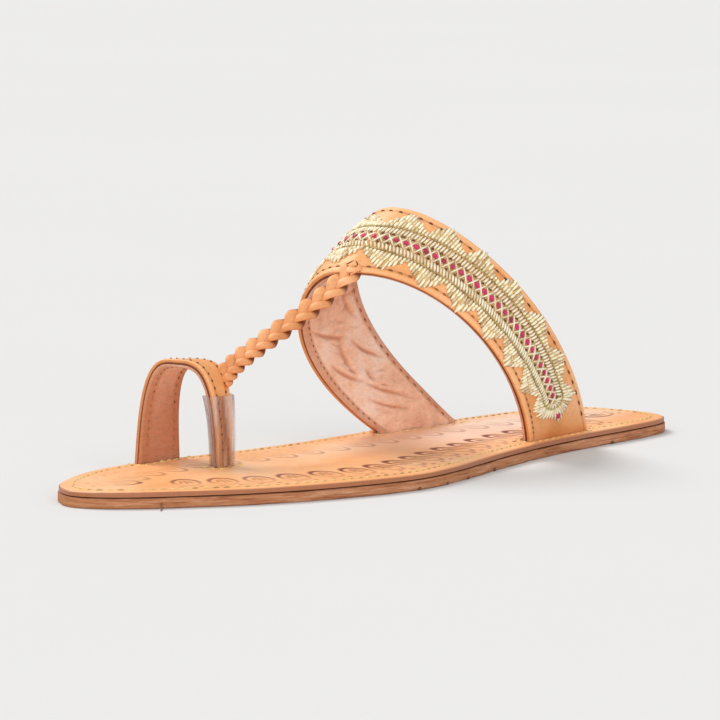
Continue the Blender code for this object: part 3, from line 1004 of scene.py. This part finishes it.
def make_strap(name, strap, rows, face_columns, creased):
    """The strap's wall with rounded, layered edges, grooved stitch lines and a creased lining."""
    runs = np.linspace(strap.runs[0], strap.runs[-1], rows)
    arch = strap.arch_at(runs)
    width = strap.width(arch)
    inner_share = np.linspace(0.0, 1.0, face_columns + 2)[1:-1]
    ring = [(("front", r.inset), r.depth, r.part) for r in EDGE_ROWS]
    ring += [(("face", s), 1.0, 2) for s in inner_share]
    ring += [(("rear", r.inset), r.depth, r.part) for r in EDGE_ROWS[::-1]]
    ring += [(("face", s), 0.0, 0) for s in inner_share[::-1]]
    points = np.zeros((rows, len(ring), 3))
    values = {word: np.zeros((rows, len(ring))) for word in ("groove", "rim", "foot", "crease")}
    margin = EDGE_ROWS[0].inset
    for j, ((kind, amount), depth, part) in enumerate(ring):
        if kind == "front":
            wide = -width / 2 + amount
        elif kind == "rear":
            wide = width / 2 - amount
        else:
            wide = -width / 2 + margin + (width - 2 * margin) * amount
        if depth >= 0.95 and creased:
            crease = crease_depth(runs / MM, wide / MM)
        else:
            crease = np.zeros(rows)
        points[:, j] = strap.place(runs, wide, -depth * strap.wall + crease * MM * CREASE_RELIEF)[0]
        # The crease value is painted shade, darkest in the troughs
        values["crease"][:, j] = np.clip(crease / 0.3, 0.0, 1.0)
        if kind != "face":
            cut = 0.6 if depth > 0.1 else 0.0
            values["groove"][:, j] = 1.0 if part == 0 and amount == STITCH_INSET else cut
            values["rim"][:, j] = 1.0 if (amount < RIM_WIDTH and cut == 0.0) or part == 2 else 0.0
    # Painted shade: the band is darker close to its feet, and the loop down its medial leg
    tail = 0.5 * np.clip((np.abs(arch) - 0.95) / 0.05, 0.0, 1.0) ** 2
    if not creased:
        tail = np.clip((arch - 0.30) / 0.55, 0.0, 1.0)
        # Painted shade over all of the loop's lining, deeper down its medial leg
        values["crease"] += (0.30 + 0.85 * tail)[:, None]
    values["foot"] += tail[:, None]
    points = np.concatenate([points[:1], points, points[-1:]])
    points[[0, -1], :, 2] = LEG_SEAT
    for word in values:
        values[word] = np.concatenate([values[word][:1], values[word], values[word][-1:]]).ravel()
    faces = closed_faces(rows + 2, len(ring))
    parts = np.array([part for _, _, part in ring])
    indices = np.tile(np.minimum(parts, np.roll(parts, -1)), rows + 1)
    burnt = np.tile((parts == 1) & (np.roll(parts, -1) >= 1), rows + 1)
    indices[burnt] = 1
    indices = np.concatenate([indices, [2, 2]])
    made = make_mesh(name, points.reshape(-1, 3), faces, [OUTER, RIM, LINING], indices, values)
    outward(made)
    made.data.set_sharp_from_angle(angle=math.radians(60))
    return piece(made, "upper_leather", "upper")


make_strap("band_leather", BAND, 300, 34, True)
make_strap("toe_loop_leather", LOOP, 150, 10, False)


# Plaited thong

def bezier(controls, t):
    p0, p1, p2, p3 = controls
    t = np.asarray(t)[..., None]
    s = 1.0 - t
    return p0 * s ** 3 + p1 * 3 * s * s * t + p2 * 3 * s * t * t + p3 * t ** 3


def thong_line():
    """The thong's middle line as a curve's four controls, and the level direction across it."""
    arch = np.array([THONG_START_ARCH])
    across = np.array([THONG_START_ACROSS])
    start = LOOP.point(arch, across)[0] - LOOP.normal(arch, across)[0] * LOOP.wall / 2
    top = np.array([0.0])
    ridge = BAND.point(top, np.array([0.0]))[0]
    back = unit(BAND.point(top, np.array([1.0]))[0] - ridge)
    end = ridge + back * THONG_SEAT - BAND.normal(top, np.array([0.0]))[0] * BAND.wall / 2
    level = np.array([end[0] - start[0], end[1] - start[1], 0.0])
    level /= np.linalg.norm(level)
    rise = np.array([0.0, 0.0, 1.0])
    controls = (start, start + level * THONG_REACH * THONG_START_SHARE + rise * THONG_RISE,
                end - level * THONG_REACH - rise * THONG_DROP, end)
    return controls, np.array([-level[1], level[0], 0.0])


PLAIT_TURN = math.radians(38.0)
STRAND_LEAN = 0.35
STRAND_SIDES = 14


def make_thong():
    """Three strands that cross in turn."""
    controls, side = thong_line()
    t = np.linspace(0.0, 1.0, 240)
    line = bezier(controls, t)
    length = lengths_of(line)[-1]
    up = unit(np.cross(np.gradient(line, axis=0), side))
    up[up[:, 2] < 0] *= -1
    flat = side * math.cos(PLAIT_TURN) + up * math.sin(PLAIT_TURN)
    up = up * math.cos(PLAIT_TURN) - side * math.sin(PLAIT_TURN)
    for k in range(3):
        angle = 2.0 * math.pi * (t * length / PLAIT_PERIOD + k / 3.0)
        sway = PLAIT_SWAY * np.sin(angle)
        lift = PLAIT_LIFT * np.sin(2.0 * angle)
        path = line + flat * sway[:, None] + up * lift[:, None]
        ups = unit(up - flat * (np.cos(angle) * STRAND_LEAN)[:, None])
        name = f"thong_strand_{k + 1}"
        size = (STRAND_HALF_WIDTH, STRAND_HALF_THICKNESS)
        made = tubes(name, path[None], ups[None], *size, PLAIT, STRAND_SIDES, (1.0, 1.0))
        # The "low" value is painted shade, strongest where the strand dips under the others
        low = np.clip(-np.sin(2.0 * angle), 0.0, 1.0) ** 1.5
        layer = made.data.attributes.new("low", "FLOAT", "POINT")
        layer.data.foreach_set("value", np.repeat(low, STRAND_SIDES).astype(np.float32))
        piece(made, "upper_leather", "upper")


make_thong()


# Embroidery and stitches on the straps

# Kinds of stitch: the floss, its half width and half height, how far its middle lifts off the leather and its
# ends sink in, all in mm, and the points along it and the sides round it
Kind = namedtuple("Kind", "floss half_width half_height lift sink points sides")
KINDS = {
    "band_gold_underlay": Kind(UNDER, 0.50, 0.24, 0.16, 0.1, 5, 6),
    "band_satin_leaves": Kind(CREAM, 0.46, 0.44, 0.46, 0.2, 6, 8),
    "band_inner_satin": Kind(IVORY, 0.40, 0.36, 0.36, 0.2, 6, 6),
    "band_vein_lines": Kind(OLIVE, 0.28, 0.28, 0.56, 0.0, 6, 6),
    "band_lattice": Kind(IVORY, 0.33, 0.28, 0.40, 0.1, 6, 6),
    "band_magenta": Kind(MAGENTA, 0.70, 0.36, 0.58, 0.0, 5, 8),
    "band_end_dots": Kind(MAGENTA, 1.00, 0.50, 0.85, 0.0, 6, 10),
    "band_brown_spots": Kind(BROWN, 0.36, 0.24, 0.45, 0.0, 4, 6),
    "band_ground_threads": Kind(GROUND, 0.42, 0.18, 0.12, 0.1, 5, 6),
    "band_front_notch": Kind(BROWN, 0.30, 0.20, 0.10, 0.1, 6, 6),
    "loop_braid": Kind(CREAM, 0.56, 0.42, 0.48, 0.2, 6, 6),
    "loop_braid_under": Kind(OLIVE, 0.34, 0.28, 0.30, 0.1, 6, 6),
}

# The band's embroidery, in mm: leaves outside a vein line, satin bars inside it, a lattice in the middle
FIELD_STOP = 14.5
LEAF_PITCH = 13.4
LEAF_TIP = 11.2
LEAF_VALLEY = 5.7
REAR_PHASE = 0.075
VEIN = 4.5
VEIN_PITCH = 2.5
SATIN_STEP = 1.12
FAN_COUNT = 17
FAN_START = 3.1
FAN_REACH = 9.4
LATTICE_HALF_WIDTH = 1.95
LATTICE_CELL = 3.2
GROUND_PITCH = 0.8

# The rows of stitches along the edges: side is 1 at the rear, and pitch, length and half width are in mm
EdgeStitch = namedtuple("EdgeStitch", "name strap side floss pitch length half_width")
EDGE_STITCHES = [
    EdgeStitch("band_rear", BAND, 1, BROWN, 3.7, 1.5, 0.31),
    EdgeStitch("band_front", BAND, -1, TAN, 2.96, 1.305, 0.31),
    EdgeStitch("loop_rear", LOOP, 1, BROWN, 2.9, 0.9, 0.25),
    EdgeStitch("loop_front", LOOP, -1, BROWN, 2.32, 0.783, 0.25),
]
EDGE_STITCH_STOP = 4.0

# The braid down the loop's medial leg, in mm
BRAID_START = 5.5
BRAID_STOP = 3.0
BRAID_PITCH = 1.75


def stitches(name, strap, rows):
    """One mesh of stitches: rows are (run, width, end run, end width) in mm. They dip in at both ends."""
    kind = KINDS[name]
    table = np.asarray(rows, float)[:, :, None] * MM
    t = np.linspace(0, 1, kind.points)
    run = table[:, 0] + (table[:, 2] - table[:, 0]) * t
    wide = table[:, 1] + (table[:, 3] - table[:, 1]) * t
    hump = np.sin(math.pi * np.clip(t * 0.88 + 0.06, 0, 1)) ** 0.5
    paths, ups = strap.place(run, wide, ((kind.lift + kind.sink) * hump - kind.sink) * MM)
    made = tubes(name, paths, ups, kind.half_width * MM, kind.half_height * MM, kind.floss, kind.sides)
    return piece(made, "upper_leather")


def steps(run, end, step):
    """Even places from a start up to an end, which is left out."""
    while run < end:
        yield run
        run += step


def leaf_reach(run, rear):
    """Half width of the leaves at a run in mm, a scallop with a sharp and a slow flank."""
    phase = (run / LEAF_PITCH + (REAR_PHASE if rear else 0.0)) % 1.0
    peak = 0.62 if rear else 0.36
    share = min(phase / peak, (1.0 - phase) / (1.0 - peak))
    return LEAF_VALLEY + (LEAF_TIP - LEAF_VALLEY) * share ** 0.8


def leaf_rows(low, high):
    """Satin stitches of the leaves on both sides, in two lengths each, and the gold ones beneath them."""
    satin = []
    under = []
    for run in steps(low, high, SATIN_STEP):
        for side in (-1, 1):
            reach = leaf_reach(run, side > 0) * (1.0 + rng.uniform(-0.035, 0.035))
            lean = (-0.30 if side > 0 else 0.22) + rng.uniform(-0.06, 0.06)
            middle = VEIN + (reach - VEIN) * rng.uniform(0.42, 0.60)
            bend = run + lean * (middle - VEIN)
            satin.append((run, side * (VEIN + 0.2), bend, side * middle))
            satin.append((bend + 0.1, side * (middle - 0.25), run + lean * (reach - VEIN), side * reach))
            half = run + SATIN_STEP / 2
            short = leaf_reach(half, side > 0) - 0.35
            under.append((half, side * (VEIN + 0.2), half + lean * (short - VEIN), side * short))
    return satin, under


def fan_rows(middle, away):
    """Stitches that fan out round one end of the embroidery, and the gold ones beneath them."""
    satin = []
    under = []
    for k in range(FAN_COUNT):
        angle = math.pi * (k - (FAN_COUNT - 1) / 2) / (FAN_COUNT - 0.4)
        reach = FAN_REACH - 1.9 * abs(math.sin(2.5 * angle)) + rng.uniform(-0.25, 0.25)
        for rows, turn, cut in ((satin, 0.0, 0.0), (under, 0.09, 0.5)):
            along = away * math.cos(angle + turn)
            wide = math.sin(angle + turn)
            rows.append((middle + along * FAN_START * 0.8, wide * FAN_START * 1.3,
                         middle + along * (reach - cut), wide * (reach - cut) * 1.08))
    return satin, under


def make_embroidery():
    low = BAND.runs[0] / MM + FIELD_STOP
    high = BAND.runs[-1] / MM - FIELD_STOP
    ends = ((low, -1), (high, 1))
    half = LATTICE_HALF_WIDTH
    satin, under = leaf_rows(low, high)
    inner = []
    vein = []
    for side_run in steps(low, high, SATIN_STEP):
        inner += [(side_run + 0.5, side * VEIN, side_run + 1.5, side * half) for side in (-1, 1)]
    for side_run in steps(low - 0.5, high - 1.0, VEIN_PITCH):
        vein += [(side_run, side * VEIN, side_run + 2.2, side * VEIN) for side in (-1, 1)]
    turn = np.radians(np.linspace(-90, 90, 9))
    for middle, away in ends:
        more, beneath = fan_rows(middle, away)
        satin += more
        under += beneath
        for angle in np.radians([-72, -48, -24, 0, 24, 48, 72]):
            inner.append((middle + away * 1.1 * math.cos(angle), 1.5 * math.sin(angle),
                          middle + away * 2.9 * math.cos(angle), 4.2 * math.sin(angle)))
        for a, b in zip(turn[:-1], turn[1:]):
            vein.append((middle + away * 3.0 * math.cos(a), VEIN * math.sin(a),
                         middle + away * 3.0 * math.cos(b), VEIN * math.sin(b)))
    lattice = []
    magenta = []
    spots = []
    for index, run in enumerate(steps(low + 0.6, high - 0.5, LATTICE_CELL)):
        for side in (-1, 1):
            lattice.append((run - 1.5, side * half, run + 1.5, -side * half))
            spots.append((run - 0.4, side * half, run + 0.4, side * 1.65))
        size = 0.42 + 0.62 * max(0.1, 0.55 + 0.45 * math.sin(index * 0.9 + 1.0))
        centre = run + LATTICE_CELL / 2
        magenta.append((centre - size, -0.45, centre + size, 0.45))
    dots = [(middle + away * 5.4, -0.3, middle + away * 7.2, 0.3) for middle, away in ends]
    ground = [(run, -4.2, run, 4.2) for run in steps(low - 1.0, high + 1.0, GROUND_PITCH)]
    edge = -BAND.width(np.array([0.0]))[0] / MM / 2
    notch = [(-3.2, edge + 1.0, -0.2, edge + 4.6), (3.0, edge + 1.0, 0.2, edge + 4.6)]
    for name, rows in (
        ("band_gold_underlay", under), ("band_satin_leaves", satin), ("band_inner_satin", inner),
        ("band_vein_lines", vein), ("band_lattice", lattice), ("band_magenta", magenta),
        ("band_end_dots", dots), ("band_brown_spots", spots), ("band_ground_threads", ground),
        ("band_front_notch", notch),
    ):
        stitches(name, BAND, rows)


def edge_stitches():
    """Rows of short stitches inside both edges of band and loop, outside and on the lining."""
    t = np.linspace(0, 1, 5)
    hump = np.sin(math.pi * t) * 0.00022 - 0.00012
    for row in EDGE_STITCHES:
        strap = row.strap
        low = strap.runs[0] / MM + EDGE_STITCH_STOP
        high = strap.runs[-1] / MM - EDGE_STITCH_STOP
        starts = np.array(list(steps(low, high, row.pitch)))
        runs = (starts[:, None] + row.length * t) * MM
        wide = row.side * (strap.width(strap.arch_at(runs)) / 2 - STITCH_INSET)
        paths, ups = strap.place(runs, wide, hump)
        made = tubes(f"{row.name}_stitches", paths, ups, row.half_width * MM, 0.00024, row.floss)
        piece(made, "upper_leather")
        paths, ups = strap.place(runs, wide - row.side * 0.0004, -strap.wall - hump)
        piece(tubes(f"{row.name}_lining_stitches", paths, ups, 0.00026, 0.0002, PALE), "upper_leather")


def loop_braid():
    rows = []
    under = []
    for run in steps(BRAID_START, LOOP.runs[-1] / MM - BRAID_STOP, BRAID_PITCH):
        rows += [(run, 0.1, run + 1.5, 2.7), (run + 0.8, -0.1, run + 2.3, -2.7)]
        under += [(run + 0.8, 2.5, run + 1.3, 0.3), (run + 1.6, -2.5, run + 2.1, -0.3)]
    stitches("loop_braid", LOOP, rows)
    stitches("loop_braid_under", LOOP, under)


make_embroidery()
edge_stitches()
loop_braid()


# Stitches on the insole

EDGE_ROW_INSET = 0.0042
EDGE_ROW_PITCH = 0.0031
STITCH_HALF_LENGTH = 0.0010
STITCH_WANDER = 0.0001
SLOT_ROW_GAP = 0.0024
SLOT_ROW_PITCH = 0.0036


def level_ups(paths):
    """Upward directions for all points of some paths."""
    ups = np.zeros_like(paths)
    ups[..., 2] = 1.0
    return ups


def flat_stitches(name, starts, ends):
    """Gold stitches that lie on the insole between two lists of places."""
    t = np.linspace(0, 1, 5)[None, :, None]
    paths = starts[:, None] + (ends - starts)[:, None] * t
    z = INSOLE_TOP - 0.00018 + 0.00025 * np.sin(math.pi * t[..., 0]) + np.zeros(paths.shape[:2])
    paths = np.concatenate([paths, z[..., None]], axis=2)
    return piece(tubes(name, paths, level_ups(paths), 0.00026, 0.00022, GOLD), "insole_leather")


def insole_stitches():
    """A row inside the insole's edge, and one round each slit."""
    line, out = inner_line(EDGE_ROW_INSET, EDGE_ROW_PITCH)
    tangent = np.stack([-out[:, 1], out[:, 0]], axis=1)
    size = STITCH_HALF_LENGTH + STITCH_WANDER * rng.standard_normal(len(line))[:, None]
    place = line + out * STITCH_WANDER * rng.standard_normal(len(line))[:, None]
    keep = np.ones(len(line), bool)
    starts = []
    ends = []
    for strap, arch in FEET:
        ring = leg_ring(strap, arch, 0.0009)
        keep &= ~((place > ring.min(axis=0)) & (place < ring.max(axis=0))).all(axis=1)
        ring = leg_ring(strap, arch, SLOT_ROW_GAP)
        closed = np.vstack([ring, ring[:1]])
        total = lengths_of(closed)[-1]
        count = int(total / SLOT_ROW_PITCH)
        starts.append(along_line(closed, total * np.arange(count) / count))
        ends.append(along_line(closed, total * (np.arange(count) + 0.5) / count))
    flat_stitches("insole_gold_stitches", (place - tangent * size)[keep], (place + tangent * size)[keep])
    starts = np.vstack(starts)
    ends = np.vstack(ends)
    inside = np.array([
        sole_edge(RING, x, -1) + 0.0006 < y < sole_edge(RING, x, 1) - 0.0006 for x, y in (starts + ends) / 2
    ])
    flat_stitches("slot_gold_stitches", starts[inside], ends[inside])


insole_stitches()


# Knots of the sole's thread under its edge, and a loose end of it at the toe

Knot = namedtuple("Knot", "x size")
KNOTS = [Knot(-0.083, 1.4), Knot(-0.010, 0.7), Knot(0.009, 1.0), Knot(0.022, 0.8), Knot(0.036, 1.2)]
TAIL_X = 0.1112
# The loose end in mm from the sole's edge, down its side and out on the floor
TAIL = [
    (-0.8, -0.6, 2.2), (0.0, 0.2, 1.6), (0.9, 1.2, 0.7),
    (1.9, 2.0, 0.3), (3.0, 2.6, 0.3), (4.2, 3.6, 0.3),
]


def sole_knots():
    paths = []
    for knot in KNOTS:
        y = sole_edge(RING, knot.x, 1)
        start = np.array([knot.x - 0.0008 * knot.size, y - 0.0004, 0.0006])
        end = np.array([knot.x + 0.0008 * knot.size, y + 0.0001, 0.0005])
        paths.append(start + (end - start) * np.linspace(0, 1, 5)[:, None])
    paths = np.array(paths)
    piece(tubes("sole_thread_knots", paths, level_ups(paths), 0.0007, 0.0005, BROWN, 8), "sole_leather")
    tail = np.array([(TAIL_X, sole_edge(RING, TAIL_X, 1), 0.0)]) + np.array([TAIL]) * MM
    made = tubes("sole_thread_tail", tail, level_ups(tail), 0.00018, 0.00018, BROWN, 6, (1.0, 1.0))
    piece(made, "sole_leather")


sole_knots()


# Clear sleeve round the loop's inner leg

SLEEVE_RINGS = 26
SLEEVE_FLARE = 0.00022
SIDE_COLUMNS = 8


def leg_columns():
    """Points up the inner leg's four sides, a column for each place round it."""
    arch = np.linspace(-1.0, -0.25, 120)
    half = LOOP.width(arch) / 2
    runs = np.interp(arch, LOOP.arches, LOOP.runs)
    corners = np.array([(-1.0, 0.0), (1.0, 0.0), (1.0, 1.0), (-1.0, 1.0)])
    shares = np.arange(SIDE_COLUMNS)[:, None] / SIDE_COLUMNS
    sides = [a + (b - a) * shares for a, b in zip(corners, np.roll(corners, -1, axis=0))]
    return [LOOP.place(runs, side * half, -depth * LOOP.wall)[0] for side, depth in np.concatenate(sides)]


def make_sleeve():
    columns = leg_columns()
    count = len(columns)
    around = np.arange(count) / count
    walls = []
    for grow in (CLEARANCE + SLEEVE_WALL, CLEARANCE):
        wall = []
        for share in np.arange(SLEEVE_RINGS) / (SLEEVE_RINGS - 1):
            z = INSOLE_TOP + CLEARANCE + (SLEEVE_HEIGHT - CLEARANCE) * share
            ring = np.array([[np.interp(z, c[:, 2], c[:, k]) for k in range(2)] for c in columns])
            area = np.sum(ring[:, 0] * np.roll(ring[:, 1], -1) - ring[:, 1] * np.roll(ring[:, 0], -1))
            moved = offset_ring(ring, (grow + SLEEVE_FLARE * share ** 3) * (1.0 if area > 0 else -1.0))
            wave = SLEEVE_FLARE * share ** 4 * np.sin(2 * math.pi * (around * 3 + 0.2))
            wall.append(np.column_stack([moved, z + wave]))
        walls.append(wall)
    points = np.vstack(walls[0] + walls[1][::-1])
    rows = 2 * SLEEVE_RINGS
    faces = grid_faces(rows, count, True).tolist()
    first = np.arange(count)
    last = (rows - 1) * count + first
    faces += np.stack([last, np.roll(last, -1), np.roll(first, -1), first], axis=1).tolist()
    made = make_mesh("toe_post_clear_sleeve", points, faces, [CLEAR])
    outward(made)
    made.data.set_sharp_from_angle(angle=math.radians(60))
    return piece(made, "clear_plastic", "toe_post_sleeve")


make_sleeve()
